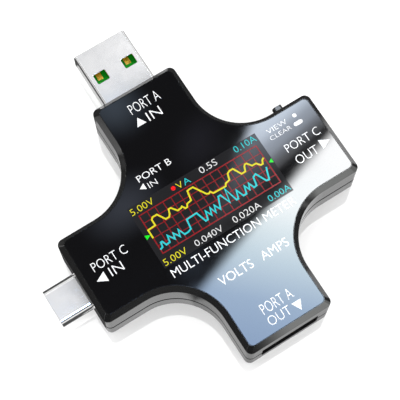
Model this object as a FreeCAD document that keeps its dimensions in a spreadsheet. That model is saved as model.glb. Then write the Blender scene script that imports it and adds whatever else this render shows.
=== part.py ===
import FreeCAD, Part
import math
import os
import re

import Sketcher
from FreeCAD import Placement, Rotation, Vector

# Frame: millimetres, +Z out of the display, +Y along the arm with the USB-A plug,
# +X along the arm with the button.
# The origin is the middle of the flat bottom face.

# The driving dimensions: name, value, meaning.
SIZES = (
    ("arm_half", 9.6, "half the width of each arm of the cross"),
    ("end_x", 29.4, "centre to the flat ends of the X arms"),
    ("end_y", 29.35, "centre to the flat ends of the Y arms"),
    ("hollow_radius", 11.0, "inside corners between the arms"),
    ("corner_radius", 1.3, "outside corners of the arms"),
    ("inner_corner", 1.0, "least radius of those corners on the outlines further in"),
    ("total_height", 11.7, "bottom face to the top of the rim around the panel"),
    ("split_height", 5.0, "middle of the joint between the case halves, and top of the circuit board"),
    ("seam_gap", 0.7, "shadow gap between the case halves, closed by the lip behind it"),
    ("wall_thickness", 1.4, "side walls of both case halves"),
    ("floor_thickness", 0.9, "bottom of the bottom case"),
    ("deck_thickness", 1.0, "top of the top case, under the panel"),
    ("bevel_inset", 1.03, "width of the bevel around the panel, seen from above"),
    ("bevel_drop", 1.35, "height of that bevel"),
    ("base_chamfer", 0.9, "chamfer around the bottom face"),
    ("rim_inset", 1.05, "outline to the edge of the panel's recess"),
    ("panel_gap", 0.04, "gap around the panel"),
    ("panel_sink", 0.03, "top of the rim to the top of the panel"),
    ("panel_thickness", 0.8, "acrylic front panel"),
    ("panel_chamfer", 0.05, "polished edge of the panel"),
    ("adhesive_thickness", 0.2, "adhesive sheet under the panel"),
    ("adhesive_inset", 1.6, "outline to the edge of the adhesive"),
    ("lip_inset", 0.75, "outline to the lip that joins the case halves"),
    ("lip_height", 0.8, "height of that lip over the middle of the joint"),
    ("lip_gap", 0.05, "play around the lip"),
    ("peg_place", 10.4, "X and Y of the locating pegs"),
    ("peg_radius", 0.9, "locating pegs of the bottom case"),
    ("peg_gap", 0.08, "radial play of the pegs"),
    ("peg_rise", 2.6, "height of the pegs above the board"),
    ("boss_radius", 1.7, "posts around the pegs, in both case halves"),
    ("board_inset", 1.6, "outline to the edge of the circuit board"),
    ("board_thickness", 1.0, "circuit board"),
    ("port_gap", 0.1, "gap between a port's shell and the case or the board"),
    ("tab_length", 1.4, "solder tabs of the shells, along the port"),
    ("tab_width", 1.1, "how far the tabs stand out sideways"),
    ("tab_thickness", 0.3, "sheet of the solder tabs"),
    ("fit_gap", 0.02, "play between an insulator and its shell"),
    ("plug_a_reach", 42.8, "centre to the tip of the USB-A plug"),
    ("plug_a_length", 19.6, "whole shell of the USB-A plug"),
    ("plug_a_width", 12.0, "USB-A plug, standard width"),
    ("plug_a_height", 4.5, "USB-A plug, standard height"),
    ("plug_a_corner", 0.6, "long edges of the USB-A plug"),
    ("plug_a_wall", 0.3, "sheet of the USB-A plug"),
    ("plug_a_tab", 1.2, "back end to the solder tabs"),
    ("socket_a_reach", 28.6, "centre to the mouth of the USB-A socket"),
    ("socket_a_length", 13.8, "whole shell of the USB-A socket"),
    ("socket_a_width", 13.1, "USB-A socket, outside"),
    ("socket_a_height", 5.72, "USB-A socket, outside"),
    ("socket_a_corner", 0.6, "long edges of the USB-A socket"),
    ("socket_a_wall", 0.3, "sheet of the USB-A socket"),
    ("slot_width", 12.9, "slot in the wall in front of the USB-A socket"),
    ("slot_height", 4.8, "slot in the wall in front of the USB-A socket"),
    ("slot_corner", 0.3, "corners of that slot"),
    ("socket_a_tab", 3.0, "back end to the solder tabs"),
    ("spring_place", 3.4, "middle of the USB-A socket's springs, sideways"),
    ("spring_width", 1.8, "springs of the USB-A socket"),
    ("spring_thickness", 0.15, "springs of the USB-A socket"),
    ("spring_root", 5.0, "back end to the fixed end of the springs"),
    ("spring_crest", 9.6, "back end to the crest of the springs"),
    ("spring_tip", 11.4, "back end to the free end of the springs"),
    ("spring_rise", 0.4, "how far the crest stands off the shell"),
    ("spring_tip_rise", 0.12, "how far the free end stands off the shell"),
    ("plug_c_reach", 36.35, "centre to the tip of the USB-C plug"),
    ("plug_c_length", 11.6, "whole shell of the USB-C plug"),
    ("plug_c_width", 8.25, "USB-C plug, standard width"),
    ("plug_c_height", 2.4, "USB-C plug, standard height"),
    ("plug_c_corner", 1.15, "round sides of the USB-C plug"),
    ("plug_c_wall", 0.2, "shell of the USB-C plug"),
    ("plug_c_tab", 0.8, "back end to the solder tabs"),
    ("socket_c_reach", 29.3, "centre to the mouth of the USB-C socket"),
    ("socket_c_length", 7.2, "whole shell of the USB-C socket"),
    ("socket_c_width", 8.94, "USB-C socket, outside"),
    ("socket_c_height", 3.16, "USB-C socket, outside"),
    ("socket_c_corner", 1.5, "round sides of the USB-C socket"),
    ("socket_c_wall", 0.3, "shell of the USB-C socket"),
    ("socket_c_tab", 3.9, "back end to the solder tabs"),
    ("micro_reach", 18.05, "centre to the mouth of the micro-USB socket"),
    ("micro_length", 5.4, "whole shell of the micro-USB socket"),
    ("micro_width", 7.4, "micro-USB socket, outside"),
    ("micro_height", 2.35, "micro-USB socket, outside"),
    ("micro_corner", 0.3, "micro-USB opening in the case"),
    ("micro_wall", 0.25, "shell of the micro-USB socket"),
    ("micro_slant", 0.75, "slanted lower corners of the micro-USB socket"),
    ("micro_tab", 0.9, "back end to the solder tabs"),
    ("window_place", 3.3, "middle of the plug's windows, sideways"),
    ("window_width", 2.8, "windows of the USB-A plug, sideways"),
    ("window_length", 2.35, "windows of the USB-A plug, along the plug"),
    ("window_setback", 5.5, "tip to the near edge of the windows"),
    ("window_corner", 0.3, "corners of the windows"),
    ("plug_a_base", 9.0, "full-height part of the USB-A plug's insulator"),
    ("plug_a_cover", 13.2, "part of it that covers the contacts"),
    ("plug_a_cover_rise", 0.3, "height of that cover over the tongue"),
    ("plug_a_tongue", 19.0, "back end to the tip of the tongue"),
    ("plug_a_outer_pin", 3.35, "USB-A plug's power contacts, sideways"),
    ("plug_a_inner_pin", 1.1, "USB-A plug's data contacts, sideways"),
    ("pin_thickness", 0.2, "contacts of the USB-A connectors"),
    ("plug_a_pin_width", 1.15, "contacts of the USB-A plug"),
    ("plug_a_pin_tip", 18.1, "back end to the tips of the plug's contacts"),
    ("pin_tail", 1.0, "tails of the contacts, on the board"),
    ("socket_a_base", 3.0, "full-height part of the USB-A socket's insulator"),
    ("socket_a_tongue", 12.4, "back end to the tip of the tongue"),
    ("socket_a_tongue_width", 11.1, "tongue of the USB-A socket"),
    ("socket_a_tongue_top", 1.9, "port axis to the top of the tongue"),
    ("socket_a_outer_pin", 3.5, "USB-A socket's power contacts, sideways"),
    ("socket_a_inner_pin", 1.0, "USB-A socket's data contacts, sideways"),
    ("socket_a_pin_width", 1.0, "contacts of the USB-A socket"),
    ("socket_a_pin_tip", 12.0, "back end to the tips of the socket's contacts"),
    ("fine_pitch", 0.5, "contacts of the USB-C connectors, side by side"),
    ("fine_width", 0.28, "width of those contacts"),
    ("plug_c_front", 11.4, "back end to the front of the USB-C plug's insulator"),
    ("plug_c_slot_width", 6.9, "slot in the USB-C plug's insulator"),
    ("plug_c_slot_height", 0.9, "slot in the USB-C plug's insulator"),
    ("plug_c_slot_depth", 6.0, "slot in the USB-C plug's insulator"),
    ("plug_c_pin_thickness", 0.1, "contacts of the USB-C plug"),
    ("plug_c_pin_length", 5.2, "contacts of the USB-C plug"),
    ("socket_c_base", 1.6, "full-height part of the USB-C socket's insulator"),
    ("socket_c_tongue", 6.4, "back end to the tip of the tongue"),
    ("socket_c_tongue_width", 6.69, "tongue of the USB-C socket"),
    ("socket_c_tongue_height", 0.7, "tongue of the USB-C socket"),
    ("socket_c_pin_thickness", 0.05, "contacts of the USB-C socket"),
    ("socket_c_pin_length", 4.2, "contacts of the USB-C socket"),
    ("micro_base", 1.2, "full-height part of the micro-USB insulator"),
    ("micro_tongue", 4.6, "back end to the tip of the tongue"),
    ("micro_tongue_width", 3.8, "tongue of the micro-USB socket"),
    ("micro_tongue_low", -0.1, "port axis to the underside of the tongue"),
    ("micro_tongue_top", 0.5, "port axis to the top of the tongue"),
    ("micro_pin_pitch", 0.65, "contacts of the micro-USB socket, side by side"),
    ("micro_pin_width", 0.35, "width of those contacts"),
    ("micro_pin_thickness", 0.12, "thickness of those contacts"),
    ("lcd_left", -15.7, "display glass, left edge"),
    ("lcd_right", 17.1, "display glass, right edge"),
    ("lcd_low", -7.4, "display glass, lower edge"),
    ("lcd_high", 8.3, "display glass, upper edge"),
    ("lcd_clearance", 0.1, "gap between the display glass and the panel"),
    ("lcd_glass_thickness", 1.3, "display glass"),
    ("lcd_ledge", 1.1, "glass that stands past the backlight, for the ribbon"),
    ("lcd_opening_gap", 0.2, "gap around the glass in the deck"),
    ("backlight_thickness", 1.4, "backlight unit"),
    ("backlight_rim", 0.8, "frame of the backlight around its light guide"),
    ("backlight_recess", 0.25, "depth of the light guide below that frame"),
    ("holder_margin", 1.0, "backlight edge to holder edge at the X ends"),
    ("holder_low", -7.0, "display holder, lower edge"),
    ("holder_high", 6.0, "display holder, upper edge"),
    ("holder_wall", 1.0, "walls of the display holder"),
    ("holder_plate", 0.6, "top plate of the display holder"),
    ("ribbon_thickness", 0.15, "flexible ribbon of the display"),
    ("ribbon_width", 10.0, "flexible ribbon of the display"),
    ("ribbon_reach", 17.7, "how far out the ribbon bends"),
    ("ribbon_foot", 15.3, "inner end of the ribbon on the board"),
    ("button_x", 23.2, "middle of the button along the arm"),
    ("button_rise", 2.7, "joint of the case halves to the middle of the button"),
    ("button_wide", 2.0, "button cap along the arm"),
    ("button_tall", 1.8, "button cap, upright"),
    ("button_corner", 0.5, "long edges of the button cap"),
    ("button_gap", 0.06, "play around the button cap"),
    ("button_stand", 1.4, "how far the cap stands out of the wall"),
    ("button_flange", 0.45, "how far the flange stands past the cap"),
    ("flange_thickness", 0.65, "flange that keeps the cap in the case"),
    ("switch_front", 6.9, "Y of the tact switch's front face"),
    ("switch_back", 5.0, "Y of the tact switch's back face"),
    ("switch_wide", 4.0, "tact switch along the arm"),
    ("switch_tall", 2.2, "tact switch above the board"),
    ("switch_sheet", 0.15, "metal cover of the tact switch"),
    ("switch_pocket_wide", 1.7, "pocket for the plunger, along the arm"),
    ("switch_pocket_low", 0.85, "board to the bottom of that pocket"),
    ("switch_pocket_tall", 1.05, "height of that pocket"),
    ("switch_pocket_depth", 1.1, "depth of that pocket"),
    ("plunger_gap", 0.1, "play around the plunger"),
    ("plunger_length", 1.1, "plunger of the tact switch"),
    ("plunger_clear", 0.03, "gap between the plunger and the button's flange"),
)

# The ports: the first word of their sizes' names, and the heading of each one's mouth in degrees from +X.
PORTS = {"plug_a": 90, "socket_a": 270, "plug_c": 180, "socket_c": 0, "micro": 135}

# The ports that hang under the board, with their axis at its underside. The others have theirs at its top.
HUNG_PORTS = ("plug_c", "socket_c")

# The chips on the board: name, middle x and y, length, width, height, and the side of the board they sit on.
CHIPS = (
    ("microcontroller", -3.0, -0.5, 7.0, 7.0, 1.0, "top"),
    ("crystal", 4.5, 1.5, 3.2, 2.5, 0.8, "top"),
    ("memory_chip", -10.0, 1.0, 4.9, 3.9, 1.4, "bottom"),
    ("current_shunt", 2.0, 2.0, 6.4, 3.2, 0.7, "bottom"),
    ("voltage_regulator", 12.0, -2.0, 4.5, 2.5, 1.5, "bottom"),
)

# Two rows of small parts under the board: name, count, first x, y, pitch, length, width, height.
SMALL_PARTS = (
    ("smd_capacitors", 8, -9.0, -6.0, 2.4, 0.8, 1.6, 0.8),
    ("smd_resistors", 10, -10.0, 6.5, 2.1, 0.8, 1.6, 0.45),
)

# Heights of the stack under the panel, from the top down.
PANEL_TOP = "(total_height - panel_sink)"
PANEL_LOW = f"({PANEL_TOP} - panel_thickness)"
DECK_TOP = f"({PANEL_LOW} - adhesive_thickness)"
DECK_LOW = f"({DECK_TOP} - deck_thickness)"

document = FreeCAD.newDocument("usb_power_meter")
sheet = document.addObject("Spreadsheet::Sheet", "Sizes")
NAMES = {name for name, number, meaning in SIZES}
sub_parts = []


def fill_sheet():
    """Writes the driving dimensions into the sheet, one row each."""
    for row, (name, number, meaning) in enumerate(SIZES, start=1):
        sheet.set(f"A{row}", meaning)
        sheet.set(f"B{row}", str(number))
        sheet.setAlias(f"B{row}", name)
    document.recompute()


def expression(formula):
    """Points each size's name in a formula at its cell in the sheet."""
    return re.sub(r"[a-z][a-z_]*", lambda word: f"Sizes.{word[0]}" if word[0] in NAMES else word[0], formula)


def value(formula):
    """The number that a formula of sizes gives now."""
    return float(sheet.evalExpression(expression(formula)))


def bind(item, property_name, formula):
    """Ties a property of an object to a formula of sizes."""
    item.setExpression(property_name, expression(formula))


# ---------------------------------------------------------------- sketches

def new_body(name):
    """Starts a sub-part that is made of sketched features."""
    body = document.addObject("PartDesign::Body", name)
    body.Label = name
    sub_parts.append(body)
    return body


def new_sketch(body, plane, offset="0", turn=None):
    """A sketch on one of the body's own origin planes, lifted off it and turned in degrees about an axis."""
    sketch = body.newObject("Sketcher::SketchObject", f"{body.Name}_sketch")
    origin_plane = next(item for item in body.Origin.OriginFeatures if item.Role == plane)
    sketch.AttachmentSupport = [(origin_plane, "")]
    sketch.MapMode = "FlatFace"
    if turn:
        sketch.AttachmentOffset = Placement(Vector(), Rotation(*turn))
    bind(sketch, "AttachmentOffset.Base.z", offset)
    return sketch


def fix_point(sketch, geometry, point, x=None, y=None):
    """Ties a sketch point's distances from the sketch's origin to formulas."""
    for kind, formula in (("DistanceX", x), ("DistanceY", y)):
        if formula is not None:
            constraint = Sketcher.Constraint(kind, -1, 1, geometry, point, value(formula))
            number = sketch.addConstraint(constraint)
            bind(sketch, f"Constraints[{number}]", formula)


def fix_radius(sketch, geometry, radius):
    """Ties the radius of an arc or circle to a formula."""
    number = sketch.addConstraint(Sketcher.Constraint("Radius", geometry, value(radius)))
    bind(sketch, f"Constraints[{number}]", radius)


def corner_arc(corner, inwards, outwards, radius):
    """The arc that rounds a right-angled corner, and whether it runs with the outline."""
    centre = corner - inwards * radius + outwards * radius
    first = math.atan2(-outwards.y, -outwards.x)
    last = math.atan2(inwards.y, inwards.x)
    turns_left = inwards.cross(outwards).z > 0
    if not turns_left:
        first, last = last, first
    if last < first:
        last += 2 * math.pi
    return Part.ArcOfCircle(Part.Circle(centre, Vector(0, 0, 1), radius), first, last), turns_left


def draw_outline(sketch, corners):
    """Draws a closed loop of level and upright lines through (x, y, radius) corners, given as formulas.

    A corner whose radius is None stays sharp. Any other corner is a tangent arc.
    """
    spots = [Vector(value(x), value(y), 0) for x, y, radius in corners]
    trims = [value(radius) if radius else 0.0 for x, y, radius in corners]
    ways = [(spots[(place + 1) % len(spots)] - spot).normalize() for place, spot in enumerate(spots)]
    lines = []
    for place, (x, y, radius) in enumerate(corners):
        following = (place + 1) % len(corners)
        start = spots[place] + ways[place] * trims[place]
        end = spots[following] - ways[place] * trims[following]
        line = sketch.addGeometry(Part.LineSegment(start, end), False)
        level = abs(ways[place].x) > abs(ways[place].y)
        sketch.addConstraint(Sketcher.Constraint("Horizontal" if level else "Vertical", line))
        lines.append((line, level))
    for place, (x, y, radius) in enumerate(corners):
        line, level = lines[place]
        before = lines[place - 1][0]
        if radius:
            arc, with_outline = corner_arc(spots[place], ways[place - 1], ways[place], trims[place])
            curve = sketch.addGeometry(arc, False)
            near, far = (1, 2) if with_outline else (2, 1)
            sketch.addConstraint(Sketcher.Constraint("Tangent", before, 2, curve, near))
            sketch.addConstraint(Sketcher.Constraint("Tangent", curve, far, line, 1))
            fix_radius(sketch, curve, radius)
        else:
            sketch.addConstraint(Sketcher.Constraint("Coincident", before, 2, line, 1))
        fix_point(sketch, line, 1, y=y if level else None, x=None if level else x)


def draw_rectangle(sketch, left, right, low, high, radius=None):
    """Draws a rectangle, with rounded corners if a radius is given."""
    corners = [(left, low), (right, low), (right, high), (left, high)]
    draw_outline(sketch, [(x, y, radius) for x, y in corners])


def draw_centred(sketch, width, height, radius=None, y="0"):
    """Draws a rectangle that is centred sideways on the sketch's upright axis, at height y."""
    half_wide = f"({width}) / 2"
    half_high = f"({height}) / 2"
    draw_rectangle(sketch, f"-{half_wide}", half_wide, f"({y}) - {half_high}", f"({y}) + {half_high}", radius)


def draw_cross(sketch, inset):
    """Draws the outline of the cross, moved inwards everywhere by an inset. Its corners stay rounded."""
    arm = f"(arm_half - ({inset}))"
    far_x = f"(end_x - ({inset}))"
    far_y = f"(end_y - ({inset}))"
    corner = f"max(corner_radius - ({inset}); inner_corner)"
    hollow = f"hollow_radius + ({inset})"
    draw_outline(sketch, [
        (far_x, "-" + arm, corner), (far_x, arm, corner), (arm, arm, hollow),
        (arm, far_y, corner), ("-" + arm, far_y, corner), ("-" + arm, arm, hollow),
        ("-" + far_x, arm, corner), ("-" + far_x, "-" + arm, corner), ("-" + arm, "-" + arm, hollow),
        ("-" + arm, "-" + far_y, corner), (arm, "-" + far_y, corner), (arm, "-" + arm, hollow),
    ])


def draw_polygon(sketch, points):
    """Draws a closed loop of straight lines through (x, y) points, given as formulas."""
    spots = [Vector(value(x), value(y), 0) for x, y in points]
    lines = [
        sketch.addGeometry(Part.LineSegment(spot, spots[(place + 1) % len(spots)]), False)
        for place, spot in enumerate(spots)
    ]
    for place, (x, y) in enumerate(points):
        sketch.addConstraint(Sketcher.Constraint("Coincident", lines[place - 1], 2, lines[place], 1))
        fix_point(sketch, lines[place], 1, x=x, y=y)


def draw_circle(sketch, x, y, radius):
    """Draws a circle."""
    curve = Part.Circle(Vector(value(x), value(y), 0), Vector(0, 0, 1), value(radius))
    circle = sketch.addGeometry(curve, False)
    fix_point(sketch, circle, 3, x=x, y=y)
    fix_radius(sketch, circle, radius)


# ---------------------------------------------------------------- features

def pad(body, sketch, length):
    """Adds material along the sketch's normal."""
    feature = body.newObject("PartDesign::Pad", f"{body.Name}_pad")
    feature.Profile = sketch
    bind(feature, "Length", length)
    document.recompute()
    return feature


def pocket(body, sketch, length=None, forwards=False, both_ways=False):
    """Cuts against the sketch's normal, or along it when forwards; with no length it cuts right through."""
    volume = body.Shape.Volume
    feature = body.newObject("PartDesign::Pocket", f"{body.Name}_pocket")
    feature.Profile = sketch
    feature.Reversed = forwards
    feature.Midplane = both_ways
    if length is None:
        feature.Type = "ThroughAll"
    else:
        bind(feature, "Length", length)
    document.recompute()
    if body.Shape.Volume >= volume - 1e-6:
        raise RuntimeError(f"{feature.Name} cuts nothing")
    return feature


def loft(body, lower, upper):
    """Adds straight-sided material between two like outlines."""
    feature = body.newObject("PartDesign::AdditiveLoft", f"{body.Name}_loft")
    feature.Profile = lower
    feature.Sections = [upper]
    feature.Ruled = True
    document.recompute()
    return feature


def chamfer_edges(body, feature, height, size):
    """Chamfers every edge that lies level at a height."""
    level = value(height)
    edges = [
        f"Edge{number}"
        for number, edge in enumerate(feature.Shape.Edges, start=1)
        if abs(edge.BoundBox.ZMin - level) < 1e-6 and abs(edge.BoundBox.ZMax - level) < 1e-6
    ]
    chamfer = body.newObject("PartDesign::Chamfer", f"{body.Name}_chamfer")
    chamfer.Base = (feature, edges)
    bind(chamfer, "Size", size)
    document.recompute()
    return chamfer


def new_box(name, left, right, near, far, low, high):
    """A plain block between three pairs of formulas."""
    block = document.addObject("Part::Box", name)
    bind(block, "Length", f"({right}) - ({left})")
    bind(block, "Width", f"({far}) - ({near})")
    bind(block, "Height", f"({high}) - ({low})")
    bind(block, "Placement.Base.x", left)
    bind(block, "Placement.Base.y", near)
    bind(block, "Placement.Base.z", low)
    return block


def group(name, blocks):
    """One sub-part made of several like pieces."""
    compound = document.addObject("Part::Compound", name)
    compound.Label = name
    compound.Links = blocks
    sub_parts.append(compound)
    return compound


# ---------------------------------------------------------------- case

def wall_sketch(body, heading):
    """A sketch on an upright plane through the origin whose normal points along a heading.

    Its Y axis is up and its X axis points to the left of the heading.
    """
    return new_sketch(body, "YZ_Plane", turn=(Vector(0, 1, 0), heading))


def port_axis(port):
    """The height of a port's axis."""
    return "(split_height - board_thickness)" if port in HUNG_PORTS else "split_height"


def cut_port_openings(body, ports):
    """Opens the walls for some ports. The USB-A socket ends behind a slot smaller than its shell."""
    for port in ports:
        sketch = wall_sketch(body, PORTS[port])
        width = f"{port}_width + 2 * port_gap"
        height = f"{port}_height + 2 * port_gap"
        draw_centred(sketch, width, height, f"{port}_corner + port_gap", y=port_axis(port))
        depth = "socket_a_reach + port_gap / 2" if port == "socket_a" else None
        pocket(body, sketch, depth, forwards=True)
    slot = wall_sketch(body, PORTS["socket_a"])
    draw_centred(slot, "slot_width", "slot_height", "slot_corner", y="split_height")
    pocket(body, slot, forwards=True)


def draw_peg_circles(sketch, radius):
    """Draws a circle at each locating peg: every inside corner but the one with the micro-USB socket."""
    for x, y in (("peg_place", "peg_place"), ("peg_place", "-peg_place"), ("-peg_place", "-peg_place")):
        draw_circle(sketch, x, y, radius)


def make_bottom_case():
    """The lower shell: chamfered base, joining lip, posts and pegs for the board."""
    body = new_body("bottom_case")
    outline = new_sketch(body, "XY_Plane")
    draw_cross(outline, "0")
    block = pad(body, outline, "split_height - seam_gap / 2")
    chamfer_edges(body, block, "0", "base_chamfer")
    lip = new_sketch(body, "XY_Plane", "floor_thickness")
    draw_cross(lip, "lip_inset")
    pad(body, lip, "split_height - floor_thickness + lip_height")
    cavity = new_sketch(body, "XY_Plane", "floor_thickness")
    draw_cross(cavity, "wall_thickness")
    pocket(body, cavity, forwards=True)
    posts = new_sketch(body, "XY_Plane", "floor_thickness")
    draw_peg_circles(posts, "boss_radius")
    pad(body, posts, "split_height - board_thickness - floor_thickness")
    pegs = new_sketch(body, "XY_Plane", "floor_thickness")
    draw_peg_circles(pegs, "peg_radius")
    pad(body, pegs, "split_height + peg_rise - floor_thickness")
    cut_port_openings(body, PORTS)


def make_top_case():
    """The upper shell: bevelled rim, panel recess, deck with the display opening, bosses, button hole.

    The USB-C plug passes below it.
    """
    body = new_body("top_case")
    outline = new_sketch(body, "XY_Plane", "split_height + seam_gap / 2")
    draw_cross(outline, "0")
    pad(body, outline, "total_height - bevel_drop - split_height - seam_gap / 2")
    bevel_foot = new_sketch(body, "XY_Plane", "total_height - bevel_drop")
    draw_cross(bevel_foot, "0")
    rim = new_sketch(body, "XY_Plane", "total_height")
    draw_cross(rim, "bevel_inset")
    loft(body, bevel_foot, rim)
    recess = new_sketch(body, "XY_Plane", "total_height")
    draw_cross(recess, "rim_inset")
    pocket(body, recess, f"total_height - {DECK_TOP}")
    cavity = new_sketch(body, "XY_Plane", "split_height")
    draw_cross(cavity, "wall_thickness")
    pocket(body, cavity, f"{DECK_LOW} - split_height", forwards=True)
    groove = new_sketch(body, "XY_Plane", "split_height")
    draw_cross(groove, "lip_inset - lip_gap")
    pocket(body, groove, "lip_height + lip_gap", forwards=True)
    display = new_sketch(body, "XY_Plane", "split_height")
    draw_display_opening(display)
    pocket(body, display, forwards=True)
    bosses = new_sketch(body, "XY_Plane", "split_height")
    draw_peg_circles(bosses, "boss_radius")
    pad(body, bosses, f"{DECK_LOW} - split_height")
    holes = new_sketch(body, "XY_Plane", "split_height")
    draw_peg_circles(holes, "peg_radius + peg_gap")
    pocket(body, holes, "peg_rise + peg_gap", forwards=True)
    cut_port_openings(body, [port for port in PORTS if port != "plug_c"])
    button_hole = wall_sketch(body, 90)
    draw_button(button_hole, "button_gap")
    pocket(body, button_hole, forwards=True)


def draw_display_opening(sketch):
    """Draws the display glass's outline with a gap around it."""
    draw_rectangle(
        sketch, "lcd_left - lcd_opening_gap", "lcd_right + lcd_opening_gap",
        "lcd_low - lcd_opening_gap", "lcd_high + lcd_opening_gap",
    )


def make_front_panel():
    """The glossy acrylic sheet, with its polished edge."""
    body = new_body("front_panel")
    outline = new_sketch(body, "XY_Plane", PANEL_LOW)
    draw_cross(outline, "rim_inset + panel_gap")
    plate = pad(body, outline, "panel_thickness")
    chamfer_edges(body, plate, PANEL_TOP, "panel_chamfer")


def make_panel_adhesive():
    """The double-sided sheet that holds the panel, open over the display."""
    body = new_body("panel_adhesive")
    outline = new_sketch(body, "XY_Plane", DECK_TOP)
    draw_cross(outline, "adhesive_inset")
    pad(body, outline, "adhesive_thickness")
    display = new_sketch(body, "XY_Plane", "split_height")
    draw_display_opening(display)
    pocket(body, display, forwards=True)


# ---------------------------------------------------------------- button and switch

def draw_button(sketch, margin):
    """Draws the button cap's section with a margin around it, on an upright plane that faces +Y."""
    half_wide = f"(button_wide / 2 + {margin})"
    half_tall = f"(button_tall / 2 + {margin})"
    middle = "(split_height + button_rise)"
    draw_rectangle(
        sketch, f"-button_x - {half_wide}", f"-button_x + {half_wide}",
        f"{middle} - {half_tall}", f"{middle} + {half_tall}", "button_corner",
    )


def make_button_cap():
    """The button: a small cap with a flange that keeps it behind the wall."""
    body = new_body("button_cap")
    flange_back = "arm_half - wall_thickness - port_gap / 2 - flange_thickness"
    cap = new_sketch(body, "YZ_Plane", turn=(Vector(0, 1, 0), 90))
    draw_button(cap, "0")
    pad(body, cap, "arm_half + button_stand")
    hollow = new_sketch(body, "YZ_Plane", turn=(Vector(0, 1, 0), 90))
    draw_button(hollow, "button_flange")
    pad(body, hollow, f"{flange_back} + flange_thickness")
    behind = new_sketch(body, "YZ_Plane", turn=(Vector(0, 1, 0), 90))
    draw_button(behind, "2 * button_flange")
    pocket(body, behind, flange_back, forwards=True)


def make_switch():
    """The side-push tact switch: base, metal cover, dome and plunger."""
    left = "button_x - switch_wide / 2"
    right = "button_x + switch_wide / 2"
    top = "split_height + switch_tall"
    pocket_left = "button_x - switch_pocket_wide / 2"
    pocket_right = "button_x + switch_pocket_wide / 2"
    pocket_low = "split_height + switch_pocket_low"
    pocket_high = "split_height + switch_pocket_low + switch_pocket_tall"
    pocket_back = "switch_front - switch_pocket_depth"

    block = new_box("switch_block", left, right, "switch_back", "switch_front", "split_height", top)
    room = new_box("switch_room", pocket_left, pocket_right, pocket_back, "switch_front + 1",
                   pocket_low, pocket_high)
    base = document.addObject("Part::Cut", "switch_base")
    base.Label = "switch_base"
    base.Base = block
    base.Tool = room
    sub_parts.append(base)

    roof = new_box("cover_roof", left, right, "switch_back", "switch_front", top, f"{top} + switch_sheet")
    sides = [
        new_box("cover_left", f"{left} - switch_sheet", left, "switch_back", "switch_front",
                "split_height", f"{top} + switch_sheet"),
        new_box("cover_right", right, f"{right} + switch_sheet", "switch_back", "switch_front",
                "split_height", f"{top} + switch_sheet"),
    ]
    cover = document.addObject("Part::MultiFuse", "switch_cover")
    cover.Label = "switch_cover"
    cover.Shapes = [roof] + sides
    sub_parts.append(cover)

    dome = new_box("switch_dome", f"{pocket_left} + plunger_gap", f"{pocket_right} - plunger_gap",
                   f"{pocket_back} + switch_sheet", f"{pocket_back} + 2 * switch_sheet",
                   f"{pocket_low} + plunger_gap", f"{pocket_high} - plunger_gap")
    sub_parts.append(dome)

    tip = "arm_half - wall_thickness - port_gap / 2 - flange_thickness - plunger_clear"
    plunger = new_box("switch_plunger", f"{pocket_left} + plunger_gap", f"{pocket_right} - plunger_gap",
                      f"{tip} - plunger_length", tip,
                      f"{pocket_low} + plunger_gap", f"{pocket_high} - plunger_gap")
    sub_parts.append(plunger)


# ---------------------------------------------------------------- ports

# A port is built standing on its back end, with its mouth along +Z, its width along X and its top side at +Y,
# and is then laid down along its heading.

def lay_down(piece, port):
    """Lays a port's piece down along its heading, on the port's axis."""
    heading = PORTS[port]
    piece.Placement = Placement(Vector(), Rotation(Vector(0, 0, 1), heading) * Rotation(Vector(1, 1, 1), 120))
    back = f"({port}_reach - {port}_length)"
    bind(piece, "Placement.Base.x", f"{back} * cos({heading} deg)")
    bind(piece, "Placement.Base.y", f"{back} * sin({heading} deg)")
    bind(piece, "Placement.Base.z", port_axis(port))


def add_tabs(body, port):
    """Adds the two solder tabs beside a shell, which lie on the board, or against it from below."""
    sketch = new_sketch(body, "XY_Plane", f"{port}_tab")
    inner = f"({port}_width / 2 - {port}_wall / 2)"
    outer = f"({port}_width / 2 + tab_width)"
    low, high = ("-tab_thickness", "0") if port in HUNG_PORTS else ("0", "tab_thickness")
    draw_rectangle(sketch, inner, outer, low, high)
    draw_rectangle(sketch, f"-{outer}", f"-{inner}", low, high)
    pad(body, sketch, "tab_length")


def make_shell(port, name):
    """The folded metal tube around a port, with its solder tabs."""
    body = new_body(name)
    section = new_sketch(body, "XY_Plane")
    draw_centred(section, f"{port}_width", f"{port}_height", f"{port}_corner")
    inner_corner = f"{port}_corner - {port}_wall"
    draw_centred(section, f"{port}_width - 2 * {port}_wall", f"{port}_height - 2 * {port}_wall", inner_corner)
    pad(body, section, f"{port}_length")
    add_tabs(body, port)
    lay_down(body, port)
    return body


def cut_plug_windows(body):
    """Cuts the two square windows through the top and bottom of the USB-A plug's shell."""
    sketch = new_sketch(body, "XZ_Plane")
    inner = "(window_place - window_width / 2)"
    outer = "(window_place + window_width / 2)"
    near = "plug_a_length - window_setback - window_length"
    far = "plug_a_length - window_setback"
    draw_rectangle(sketch, inner, outer, near, far, "window_corner")
    draw_rectangle(sketch, f"-{outer}", f"-{inner}", near, far, "window_corner")
    pocket(body, sketch, both_ways=True)


def draw_insulator_section(sketch, port):
    """Draws the section of an insulator that fills its shell."""
    loss = f"2 * ({port}_wall + fit_gap)"
    draw_centred(sketch, f"{port}_width - {loss}", f"{port}_height - {loss}", f"{port}_corner - {port}_wall")


def pin_columns(port):
    """The middles of a USB-A connector's four contacts, sideways."""
    outer = f"{port}_outer_pin"
    inner = f"{port}_inner_pin"
    return [f"-{outer}", f"-{inner}", inner, outer]


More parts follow.
